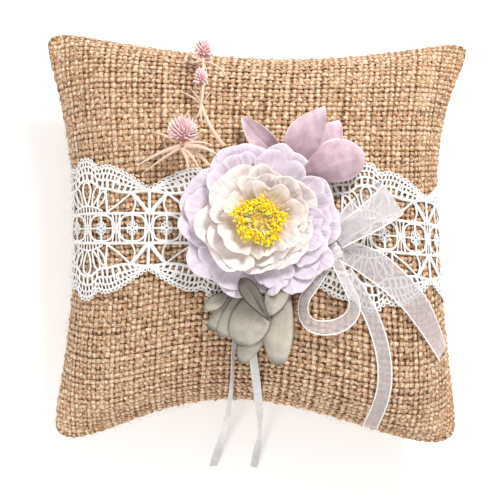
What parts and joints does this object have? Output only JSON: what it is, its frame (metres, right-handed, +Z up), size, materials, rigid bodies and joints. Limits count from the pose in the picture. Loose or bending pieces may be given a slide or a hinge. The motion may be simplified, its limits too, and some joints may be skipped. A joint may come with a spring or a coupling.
{
  "type": "ring bearer pillow",
  "caption": "Square stuffed burlap cushion with a lace band, a silk peony spray and organza bow, and thin satin ribbons that hold wedding rings.",
  "frame": {"origin": "on the resting surface, under the middle of the cushion's bounding box", "axes": "+Z up, out of the decorated face; +Y towards the thistle sprigs; the ring ribbons trail towards -Y"},
  "size_m": [0.1989, 0.2097, 0.0976],
  "materials": {
    "burlap": "coarse plain weave jute, matt",
    "lining": "plain brown cotton, matt",
    "filling": "polyester fibre",
    "thread": "sewing thread",
    "lace": "white embroidered guipure lace",
    "glue": "translucent hot glue",
    "felt": "pressed felt",
    "calyx": "moulded green plastic, matt",
    "core": "yellow flock on foam",
    "anther": "yellow flock",
    "filament": "pale yellow waxed thread",
    "lavender_petal": "pale lavender pressed cloth, matt",
    "cream_petal": "cream pressed cloth, matt",
    "mauve_leaf": "dusty pink velvet",
    "grey_leaf": "grey-green velvet",
    "thistle_head": "dried pink flower",
    "thistle_stem": "dried pink stem",
    "organza": "sheer organza with woven edges",
    "satin": "white single-face satin"
  },
  "bodies": {
    "root": {"back_lining": "lining", "bow_knot": "organza", "burlap_back_panel": "burlap", "burlap_front_panel": "burlap", "felt_backing_disc": "felt", "fibre_filling": "filling", "flower_calyx": "calyx", "flower_core": "core", "front_lining": "lining", "glue_pad": "glue", "grey_leaf_1": "grey_leaf", "grey_leaf_2": "grey_leaf", "grey_leaf_3": "grey_leaf", "grey_leaf_4": "grey_leaf", "grey_leaf_5": "grey_leaf", "grey_leaf_6": "grey_leaf", "grey_leaf_7": "grey_leaf", "grey_leaf_8": "grey_leaf", "inner_petal_1": "cream_petal", "inner_petal_2": "cream_petal", "inner_petal_3": "cream_petal", "inner_petal_4": "cream_petal", "inner_petal_5": "cream_petal", "lace_band": "lace", "mauve_leaf_1": "mauve_leaf", "mauve_leaf_2": "mauve_leaf", "mauve_leaf_3": "mauve_leaf", "mauve_leaf_4": "mauve_leaf", "middle_petal_1": "cream_petal", "middle_petal_2": "cream_petal", "middle_petal_3": "cream_petal", "middle_petal_4": "cream_petal", "middle_petal_5": "cream_petal", "middle_petal_6": "cream_petal", "narrow_loop": "organza", "narrow_tail": "organza", "outer_petal_1": "lavender_petal", "outer_petal_2": "lavender_petal", "outer_petal_3": "lavender_petal", "outer_petal_4": "lavender_petal", "outer_petal_5": "lavender_petal", "outer_petal_6": "lavender_petal", "outer_petal_7": "lavender_petal", "outer_petal_8": "lavender_petal", "ring_ribbon_left": "satin", "ring_ribbon_right": "satin", "ring_ribbon_tack": "satin", "seam_stitches": "thread", "stamen_anthers": "anther", "stamen_filaments": "filament", "thistle_bracts": "thistle_stem", "thistle_head_1": "thistle_head", "thistle_head_2": "thistle_head", "thistle_head_3": "thistle_head", "thistle_main_stem": "thistle_stem", "thistle_side_stem": "thistle_stem", "wide_loop": "organza", "wide_tail": "organza"}
  },
  "joints": []
}
